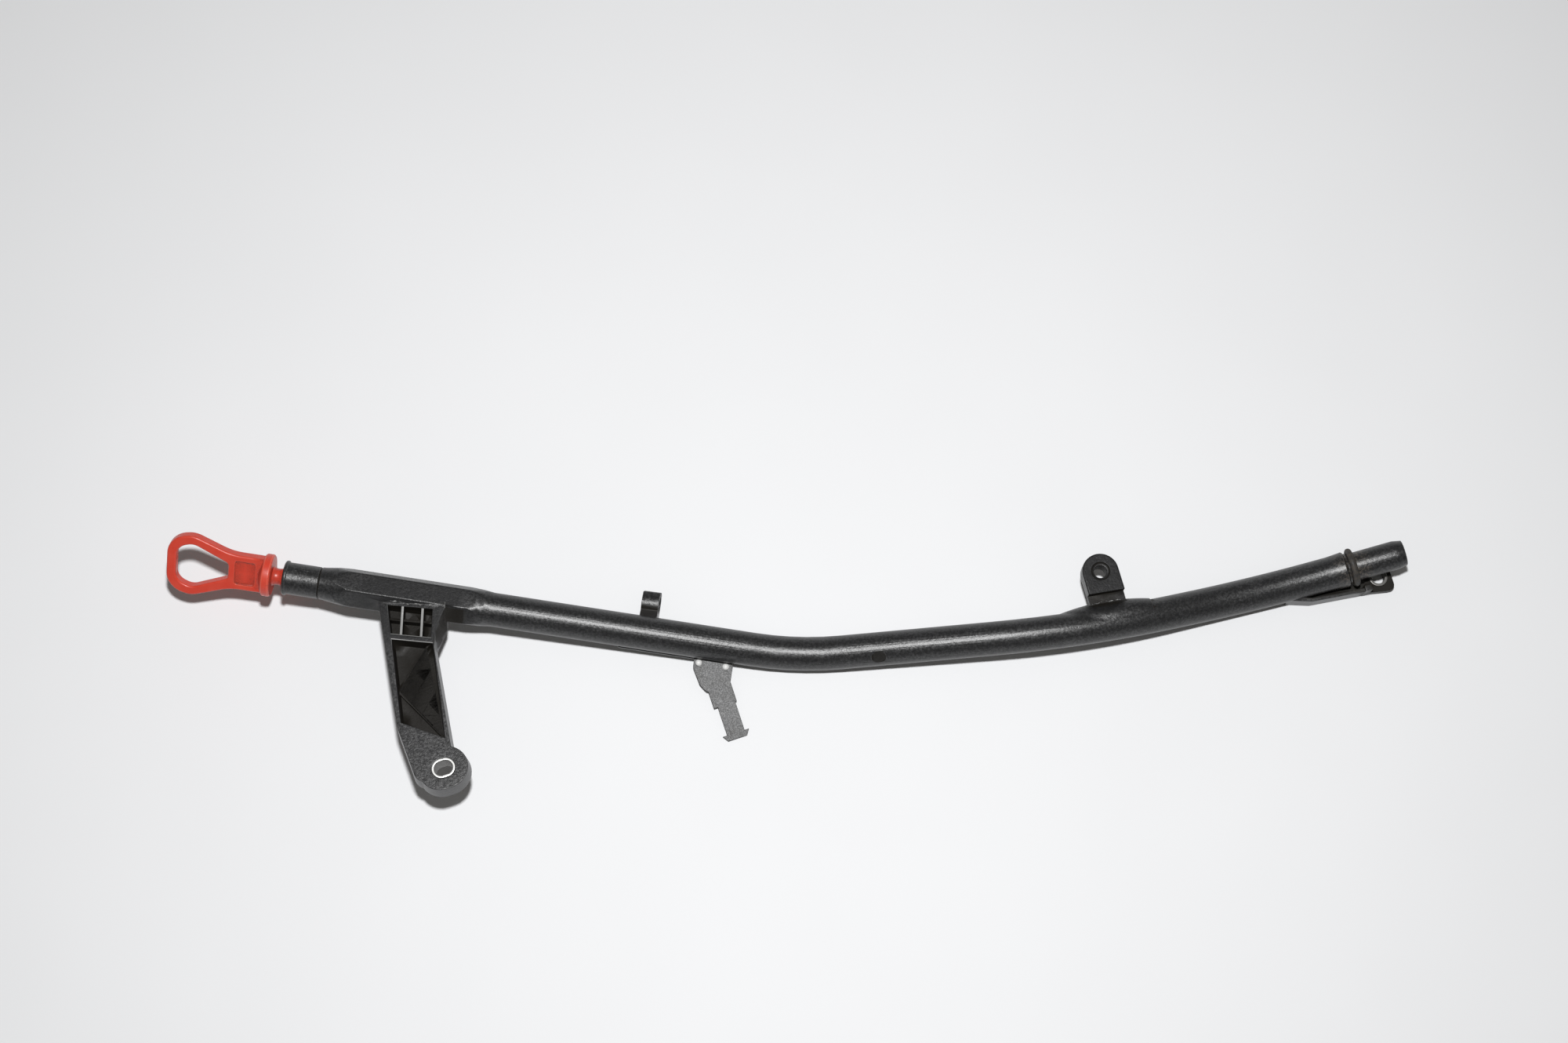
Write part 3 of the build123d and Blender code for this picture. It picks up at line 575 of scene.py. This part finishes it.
def merged(node):
    """Working copy of a CAD node's mesh with its loose triangles joined."""
    work = bmesh.new()
    work.from_mesh(frame["nodes"][node].data)
    bmesh.ops.remove_doubles(work, verts=work.verts, dist=MERGE)
    return work


def sharp_edges(work, angle):
    """Outer edges that turn more than an angle."""
    paired = [edge for edge in work.edges if len(edge.link_faces) == 2]
    return [edge for edge in paired if edge.is_convex and edge.calc_face_angle() > angle]


def new_piece(scene, name, mesh, body, slot_name, *nodes, finish=None):
    """Links a mesh as a finished piece that rides a body and may stand for CAD nodes."""
    mesh.materials.clear()
    mesh.materials.append(finish_for(scene, finish or slot_name))
    piece = bpy.data.objects.new(name, mesh)
    scene.collection.objects.link(piece)
    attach(piece, body)
    if nodes:
        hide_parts(*nodes)
    return piece


def plain_mesh(obj, name):
    """Mesh of an object with its modifiers applied, after which the object is removed."""
    graph = bpy.context.evaluated_depsgraph_get()
    mesh = bpy.data.meshes.new_from_object(obj.evaluated_get(graph), depsgraph=graph)
    mesh.name = name
    bpy.data.objects.remove(obj)
    return mesh


def within(low, point, high):
    """Whether a point lies between two corners of a box."""
    return all(least < part < most for least, part, most in zip(low, point, high))


def refine(work, longest):
    """Splits long edges a few times, so that the painted shade and dirt can fade along a face."""
    for _ in range(SPLITS):
        long_edges = [edge for edge in work.edges if edge.calc_length() > longest]
        bmesh.ops.subdivide_edges(work, edges=long_edges, cuts=1)
        bmesh.ops.triangulate(work, faces=work.faces)


def sky():
    """Directions spread evenly over a sphere."""
    turn = pi * (3 - sqrt(5))
    ways = []
    for step in range(SKY_WAYS):
        height = 1 - 2 * (step + 0.5) / SKY_WAYS
        level = sqrt(1 - height * height)
        ways.append(Vector((level * cos(turn * step), level * sin(turn * step), height)))
    return ways


def occlusion(work, reach):
    """Stores, for each vertex, the share of its open side that walls within reach shut off, which the
    materials paint as shade.
    """
    layer = work.verts.layers.float.new(OCCLUSION)
    work.normal_update()
    walls = BVHTree.FromBMesh(work)
    ways = sky()
    for vertex in work.verts:
        open_ways = [way for way in ways if way.dot(vertex.normal) > OPEN_SIDE]
        start = vertex.co + vertex.normal * LIFT
        shut = [way for way in open_ways if walls.ray_cast(start, way, reach)[0]]
        vertex[layer] = len(shut) / max(len(open_ways), 1)


def shade_tray_floor(work):
    """Sets the floor of the arm's tray fully into the painted shade and dirt."""
    layer = work.verts.layers.float[OCCLUSION]
    for vertex in work.verts:
        depth = (TRAY_TOP - vertex.co).dot(TRAY_UP)
        on_floor = depth > TRAY_DEPTH and vertex.normal.z > TRAY_FACING
        if on_floor and within(TRAY_LOW, vertex.co, TRAY_HIGH):
            vertex[layer] = 1.0


def eased(scene, node, width):
    """Working copy of a CAD node with its outer edges eased, and the eased faces marked for edge wear
    and painted edge light (highlight on mouldings, shade on the sheet).
    """
    work = merged(node)
    bmesh.ops.dissolve_limit(work, angle_limit=FLAT, verts=work.verts, edges=work.edges)
    layer = work.faces.layers.float.new(EDGE_WEAR_AND_LIGHT)
    edges = sharp_edges(work, scene.dipstick_sizes.sharp_angle)
    result = bmesh.ops.bevel(
        work, geom=edges, offset=width, segments=EASE_STEPS, profile=0.5, affect="EDGES"
    )
    # The eased faces carry edge wear and painted edge light
    for face in result["faces"]:
        face[layer] = EDGE_RUB_AND_SHEEN
    bmesh.ops.triangulate(work, faces=work.faces)
    return work


def closed_mesh(scene, work, name):
    """Mesh of a working copy, with its normals weighted by face."""
    angle = scene.dipstick_sizes.sharp_angle
    mesh = bpy.data.meshes.new(name)
    work.to_mesh(mesh)
    work.free()
    mesh.shade_smooth()
    mesh.set_sharp_from_angle(angle=angle)
    draft = bpy.data.objects.new(f"{name}_draft", mesh)
    scene.collection.objects.link(draft)
    weighting = draft.modifiers.new("Weighted normals", "WEIGHTED_NORMAL")
    weighting.keep_sharp = True
    return plain_mesh(draft, name)


def pressed(scene, node, name):
    """Mesh of a metal node with its edges eased."""
    return closed_mesh(scene, eased(scene, node, scene.dipstick_sizes.press_edge), name)


def moulded(scene, node, name, tone_edges=None, deepen=None):
    """Mesh of a moulded node with its edges eased, which stores where painted shade with dirt, edge wear
    and painted edge light lie.
    """
    sizes = scene.dipstick_sizes
    work = eased(scene, node, sizes.mould_edge)
    if tone_edges:
        tone_edges(work)
    refine(work, sizes.shade_step)
    occlusion(work, sizes.shade_reach)
    if deepen:
        deepen(work)
    return closed_mesh(scene, work, name)


# Node trees for what repeats or follows a line


def new_tree(name, sockets):
    """Geometry node tree with named inputs: the tree and its inputs by name."""
    tree = bpy.data.node_groups.new(name, "GeometryNodeTree")
    tree.interface.new_socket("Geometry", in_out="INPUT", socket_type="NodeSocketGeometry")
    for label, kind in sockets.items():
        tree.interface.new_socket(label, in_out="INPUT", socket_type=f"NodeSocket{kind}")
    tree.interface.new_socket("Geometry", in_out="OUTPUT", socket_type="NodeSocketGeometry")
    return tree, add(tree, "NodeGroupInput").outputs


def end_tree(tree, geometry, material):
    """Closes a tree: real geometry, smooth, with its material."""
    real = add(tree, "GeometryNodeRealizeInstances", {"Geometry": geometry}).outputs[0]
    smooth = add(tree, "GeometryNodeSetShadeSmooth", {"Geometry": real}).outputs[0]
    done = add(tree, "GeometryNodeSetMaterial", {"Geometry": smooth, "Material": material}).outputs[0]
    add(tree, "NodeGroupOutput", {"Geometry": done})


def grown(scene, name, base, tree, values):
    """Plain mesh that a tree makes from a base mesh or curve, with its named inputs set."""
    draft = bpy.data.objects.new(f"{name}_draft", base)
    scene.collection.objects.link(draft)
    modifier = draft.modifiers.new(tree.name, "NODES")
    modifier.node_group = tree
    for socket in tree.interface.items_tree:
        if socket.in_out == "INPUT" and socket.name in values:
            modifier[socket.identifier] = values[socket.name]
    return plain_mesh(draft, name)


def upright(tree, height, width=0.0):
    """Vector of a width both ways and a height."""
    return add(tree, "ShaderNodeCombineXYZ", {"X": width, "Y": width, "Z": height}).outputs[0]


def rivet_tree():
    """Rivets on points: a dented dome, a shank and a set tail, turned at random about their axis."""
    sizes = dict.fromkeys(("Head", "Crown", "Tail", "Shank", "Dent", "Sheet", "Tab"), "Float")
    tree, given = new_tree("Rivets", {**sizes, "Axis": "Vector", "Seed": "Int", "Material": "Material"})
    round_form = {"Segments": 32, "Rings": 16, "Radius": 1.0}
    ball = add(tree, "GeometryNodeMeshUVSphere", round_form).outputs["Mesh"]
    under = math(tree, "MULTIPLY", given["Tab"], -1.0)
    head = {"Geometry": ball, "Translation": upright(tree, given["Sheet"])}
    head["Scale"] = upright(tree, given["Crown"], given["Head"])
    tail = {"Geometry": ball, "Translation": upright(tree, under)}
    tail["Scale"] = upright(tree, given["Tail"], given["Head"])
    grip = math(tree, "ADD", given["Sheet"], given["Tab"])
    middle = math(tree, "MULTIPLY", math(tree, "ADD", given["Sheet"], under))
    pin_form = {"Vertices": 24, "Radius": given["Shank"], "Depth": grip}
    pin = add(tree, "GeometryNodeMeshCylinder", pin_form)
    shank = {"Geometry": pin.outputs["Mesh"], "Translation": upright(tree, middle)}
    whole = add(tree, "GeometryNodeJoinGeometry")
    for part in (head, tail, shank):
        tree.links.new(add(tree, "GeometryNodeTransform", part).outputs[0], whole.inputs[0])
    spot = add(tree, "GeometryNodeInputPosition").outputs[0]
    inward = math(tree, "MULTIPLY", given["Dent"], -1.0)
    depth = math(tree, "MULTIPLY", noise(tree, spot, 0.0011, 2.0), inward)
    facing = add(tree, "GeometryNodeInputNormal").outputs[0]
    dent = add(tree, "ShaderNodeVectorMath", {0: facing, "Scale": depth}, operation="SCALE").outputs[0]
    dented = {"Geometry": whole.outputs[0], "Offset": dent}
    set_rivet = add(tree, "GeometryNodeSetPosition", dented).outputs[0]
    full_turn = {"Max": 2 * pi, "Seed": given["Seed"]}
    chance = add(tree, "FunctionNodeRandomValue", full_turn, data_type="FLOAT").outputs["Value"]
    spun = add(tree, "FunctionNodeEulerToRotation", {0: upright(tree, chance)}).outputs[0]
    facing_out = {"Rotation": spun, "Vector": given["Axis"]}
    lean = add(tree, "FunctionNodeAlignRotationToVector", facing_out, axis="Z").outputs[0]
    placed = {"Points": given["Geometry"], "Instance": set_rivet, "Rotation": lean}
    end_tree(tree, add(tree, "GeometryNodeInstanceOnPoints", placed).outputs[0], given["Material"])
    return tree


def flash_tree():
    """Ragged flash along a curve: it strays to both sides, swells, thins and breaks off."""
    sizes = dict.fromkeys(("Height", "Step", "Wander"), "Float")
    tree, given = new_tree("Flash", {**sizes, "Seed": "Int", "Material": "Material"})
    even = {"Curve": given["Geometry"], "Length": given["Step"]}
    line = add(tree, "GeometryNodeResampleCurve", even, mode="LENGTH").outputs[0]
    spot = add(tree, "GeometryNodeInputPosition").outputs[0]
    shift = upright(tree, given["Seed"], given["Seed"])
    moved = add(tree, "ShaderNodeVectorMath", {0: spot, 1: shift}, operation="ADD").outputs[0]
    cloud = {"Vector": moved, "Scale": 1 / FLASH_GRAIN, "Detail": 2.0}
    cloud = add(tree, "ShaderNodeTexNoise", cloud).outputs["Color"]
    both_ways = {0: cloud, 1: (0.5, 0.5, 0.5)}
    centred = add(tree, "ShaderNodeVectorMath", both_ways, operation="SUBTRACT")
    stray = {0: centred.outputs[0], "Scale": math(tree, "MULTIPLY", given["Wander"], FLASH_SWAY)}
    offset = add(tree, "ShaderNodeVectorMath", stray, operation="SCALE").outputs[0]
    ragged = add(tree, "GeometryNodeSetPosition", {"Geometry": line, "Offset": offset}).outputs[0]
    swell = ranged(tree, noise(tree, moved, 0.0026, 2.0), 0.40, 0.62, 0.05, 1.0)
    circle = {"Resolution": 6, "Radius": given["Height"]}
    ring = add(tree, "GeometryNodeCurvePrimitiveCircle", circle).outputs[0]
    skin = {"Curve": ragged, "Profile Curve": ring, "Scale": swell, "Fill Caps": True}
    tube = add(tree, "GeometryNodeCurveToMesh", skin).outputs[0]
    end_tree(tree, tube, given["Material"])
    return tree


# Pieces


class DIPSTICK_OT_mouldings(Operator):
    """Eases the edges of the guide tube and the handle, as their moulds leave them"""

    bl_idname = "dipstick.mouldings"
    bl_label = "Moulded pieces"

    def execute(self, context):
        scene = context.scene
        guide = moulded(scene, "guide_tube", "moulded_guide", tone_edges=self.tone_ribs_and_ridge, deepen=shade_tray_floor)
        new_piece(scene, "moulded_guide", guide, GUIDE, "black_nylon", "guide_tube")
        handle = moulded(scene, "dipstick_handle", "moulded_handle")
        new_piece(scene, "moulded_handle", handle, DIPSTICK, "red_nylon", "dipstick_handle")
        return {"FINISHED"}

    def tone_ribs_and_ridge(self, work):
        """Marks the arm's rib tops and the edges below them to be paled, and the block's ridge for a
        painted highlight.
        """
        layer = work.faces.layers.float[EDGE_WEAR_AND_LIGHT]
        for face in work.faces:
            middle = face.calc_center_median()
            near_rib = any(self.along(middle, *rib, RIB_REACH) for rib in RIBS)
            on_rib = near_rib and face.normal.z > RIB_FACING
            on_cell_edge = face[layer] and abs(face.normal.x) < CELL_FACING
            if on_rib or (on_cell_edge and within(CELL_LOW, middle, CELL_HIGH)):
                face[layer] = RIB_PALE
            # The block's ridge gets a painted highlight
            elif face[layer] and self.along(middle, *BLOCK_RIDGE, RIDGE_REACH):
                face[layer] = RIDGE_HIGHLIGHT

    def along(self, point, start, end, reach):
        """Whether a point lies within reach of a crest between two ends."""
        way = end - start
        share = (point - start).dot(way) / way.length_squared
        return 0 < share < 1 and (start + way * share - point).length < reach


class DIPSTICK_OT_metalwork(Operator):
    """Eases the edges of the liner, the bush and the connector plate"""

    bl_idname = "dipstick.metalwork"
    bl_label = "Metal pieces"

    def execute(self, context):
        scene = context.scene
        for node, name, slot_name in (
            ("arm_slot_liner", "slot_liner", "bright_steel"),
            ("foot_bush", "eye_bush", "bright_steel"),
            ("connector_plate", "pressed_plate", "grey_sheet"),
        ):
            new_piece(scene, name, pressed(scene, node, name), GUIDE, slot_name, node)
        return {"FINISHED"}


class DIPSTICK_OT_rivets(Operator):
    """Sets the two rivets of the connector plate"""

    bl_idname = "dipstick.rivets"
    bl_label = "Rivets"

    def execute(self, context):
        scene = context.scene
        sizes = scene.dipstick_sizes
        spots = bpy.data.meshes.new("rivet_spots")
        spots.from_pydata([tuple(sizes.rivet_left), tuple(sizes.rivet_right)], [], [])
        values = {
            "Head": sizes.rivet_head,
            "Crown": sizes.rivet_crown,
            "Tail": sizes.rivet_tail,
            "Shank": sizes.rivet_shank,
            "Dent": sizes.rivet_dent,
            "Sheet": sizes.sheet,
            "Tab": sizes.tab,
            "Axis": tuple(sizes.rivet_way),
            "Seed": sizes.seed,
            "Material": finish_for(scene, "rivet_metal"),
        }
        mesh = grown(scene, "set_rivets", spots, rivet_tree(), values)
        if not mesh.polygons:
            raise RuntimeError("The rivets came out empty.")
        new_piece(scene, "set_rivets", mesh, GUIDE, "rivet_metal", "plate_rivets")
        return {"FINISHED"}


class DIPSTICK_OT_flash(Operator):
    """Leaves the mould's ragged flash at the arm's root, the lug's foot and the mouth"""

    bl_idname = "dipstick.flash"
    bl_label = "Mould flash"

    def execute(self, context):
        scene = context.scene
        sizes = scene.dipstick_sizes
        cad = frame["nodes"]["guide_tube"].data
        faces = [tuple(face.vertices) for face in cad.polygons]
        surface = BVHTree.FromPolygons([vertex.co for vertex in cad.vertices], faces)
        tree = flash_tree()
        for name, ends, share in (
            ("root_flash", ROOT_FLASH, 1.0),
            ("lug_flash", LUG_FLASH, 0.8),
            ("mouth_flash", MOUTH_FLASH, 0.4),
        ):
            values = {
                "Height": sizes.flash_height * share,
                "Step": sizes.flash_step,
                "Wander": sizes.flash_wander * share,
                "Seed": sizes.seed,
                "Material": finish_for(scene, "nylon_flash"),
            }
            mesh = grown(scene, name, self.laid_line(surface, name, *ends), tree, values)
            new_piece(scene, name, mesh, GUIDE, "black_nylon", finish="nylon_flash")
        return {"FINISHED"}

    def laid_line(self, surface, name, start, end):
        """Curve laid from above on the guide, between two points in plan."""
        points = []
        for step in range(LAY_STEPS + 1):
            spot = Vector(start).lerp(Vector(end), step / LAY_STEPS)
            hit = surface.ray_cast(Vector((*spot, LAY_HEIGHT)), Vector((0, 0, -1)))[0]
            if hit is None:
                raise RuntimeError(f"{name} misses the guide.")
            points.append(hit)
        curve = bpy.data.curves.new(name, "CURVE")
        curve.dimensions = "3D"
        spline = curve.splines.new("POLY")
        spline.points.add(len(points) - 1)
        for knot, point in zip(spline.points, points):
            knot.co = (*point, 1)
        return curve


class DIPSTICK_OT_seals(Operator):
    """Gives the two rubber rings their finish"""

    bl_idname = "dipstick.seals"
    bl_label = "Rubber rings"

    def execute(self, context):
        rubber = finish_for(context.scene, "black_rubber")
        for node in ("plug_seal", "spigot_o_ring"):
            frame["nodes"][node].material_slots[0].material = rubber
        return {"FINISHED"}


class DIPSTICK_OT_blade(Operator):
    """Makes the springy blade, which lies bent in the tube"""

    bl_idname = "dipstick.blade"
    bl_label = "Blade"

    def execute(self, context):
        scene = context.scene
        mesh = pressed(scene, "dipstick_blade", "spring_blade")
        blade = new_piece(scene, "spring_blade", mesh, DIPSTICK, "spring_steel", "dipstick_blade")
        ends = sorted((vertex.co.copy() for vertex in mesh.vertices), key=OUTWARD.dot)
        tip, grip = ends[0], ends[-1]
        sideways = (tip - grip) - OUTWARD * OUTWARD.dot(tip - grip)
        if sideways.length == 0:
            raise RuntimeError("The blade is straight, so it has no way to spring back.")
        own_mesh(blade)
        return {"FINISHED"}


class DIPSTICK_OT_stage(Operator):
    """Lays the floor and sets the camera, the lamp and the even fill light"""

    bl_idname = "dipstick.stage"
    bl_label = "Stage"

    def execute(self, context):
        scene = context.scene
        stage = scene.dipstick_stage
        self.lay_floor(scene, stage.floor_width / 2)
        camera = bpy.data.cameras.new("Camera")
        camera.lens = stage.lens
        camera.sensor_width = SENSOR
        viewer = bpy.data.objects.new("Camera", camera)
        viewer.location = stage.camera
        viewer.rotation_euler = (stage.camera_tilt, 0, 0)
        scene.collection.objects.link(viewer)
        scene.camera = viewer
        lamp = bpy.data.lights.new("Lamp", "AREA")
        lamp.shape = "DISK"
        lamp.size = stage.lamp_size
        lamp.energy = stage.lamp_power
        light = bpy.data.objects.new("Lamp", lamp)
        light.location = stage.lamp
        light.rotation_euler = (-Vector(stage.lamp)).to_track_quat("-Z", "Y").to_euler()
        scene.collection.objects.link(light)
        self.set_world(scene, stage.fill)
        scene.view_settings.view_transform = "Standard"
        return {"FINISHED"}

    def lay_floor(self, scene, half):
        """Flat square floor under the object."""
        mesh = bpy.data.meshes.new("floor")
        corners = [(-half, -half, 0), (half, -half, 0), (half, half, 0), (-half, half, 0)]
        mesh.from_pydata(corners, [], [(0, 1, 2, 3)])
        mesh.materials.append(finish_for(scene, "pale_floor"))
        floor = bpy.data.objects.new("floor", mesh)
        scene.collection.objects.link(floor)

    def set_world(self, scene, fill):
        """Even fill light, where the camera, gloss and glass see a pale cove under a dim ceiling."""
        world = bpy.data.worlds.new("Room")
        world.use_nodes = True
        tree = world.node_tree
        tree.nodes.clear()
        path = add(tree, "ShaderNodeLightPath").outputs
        seen = strongest(tree, path["Is Camera Ray"], path["Is Glossy Ray"], path["Is Transmission Ray"])
        way = add(tree, "ShaderNodeTexCoord").outputs["Generated"]
        height = add(tree, "ShaderNodeSeparateXYZ", {0: way}).outputs["Z"]
        climb = ranged(tree, height, *COVE)
        cove = mixed(tree, climb, scene.dipstick_colours.floor, (fill, fill, fill))
        even = add(tree, "ShaderNodeBackground", {"Color": WARM, "Strength": fill})
        backdrop = add(tree, "ShaderNodeBackground", {"Color": cove, "Strength": 1.0})
        both = add(tree, "ShaderNodeMixShader", {0: seen, 1: even.outputs[0], 2: backdrop.outputs[0]})
        output = add(tree, "ShaderNodeOutputWorld")
        tree.links.new(both.outputs[0], output.inputs["Surface"])
        scene.world = world


OPERATORS = (
    DIPSTICK_OT_mouldings,
    DIPSTICK_OT_metalwork,
    DIPSTICK_OT_rivets,
    DIPSTICK_OT_flash,
    DIPSTICK_OT_seals,
    DIPSTICK_OT_blade,
    DIPSTICK_OT_stage,
)


class DIPSTICK_PT_build(Panel):
    """Lists the pieces and the stage in the 3D view's sidebar"""

    bl_idname = "DIPSTICK_PT_build"
    bl_label = "Engine oil dipstick"
    bl_space_type = "VIEW_3D"
    bl_region_type = "UI"
    bl_category = "Dipstick"

    def draw(self, context):
        for operator in OPERATORS:
            self.layout.operator(operator.bl_idname)
        scene = context.scene
        for group in (scene.dipstick_sizes, scene.dipstick_colours, scene.dipstick_stage):
            for name in group.__annotations__:
                self.layout.prop(group, name)


CLASSES = (DipstickSizes, DipstickColours, DipstickStage, *OPERATORS, DIPSTICK_PT_build)


def register():
    for part in CLASSES:
        bpy.utils.register_class(part)
    bpy.types.Scene.dipstick_sizes = PointerProperty(type=DipstickSizes)
    bpy.types.Scene.dipstick_colours = PointerProperty(type=DipstickColours)
    bpy.types.Scene.dipstick_stage = PointerProperty(type=DipstickStage)


def unregister():
    del bpy.types.Scene.dipstick_stage
    del bpy.types.Scene.dipstick_colours
    del bpy.types.Scene.dipstick_sizes
    for part in reversed(CLASSES):
        bpy.utils.unregister_class(part)


def main():
    register()
    bpy.ops.dipstick.mouldings()
    bpy.ops.dipstick.metalwork()
    bpy.ops.dipstick.rivets()
    bpy.ops.dipstick.flash()
    bpy.ops.dipstick.seals()
    bpy.ops.dipstick.blade()
    bpy.ops.dipstick.stage()


if __name__ == "__main__":
    main()
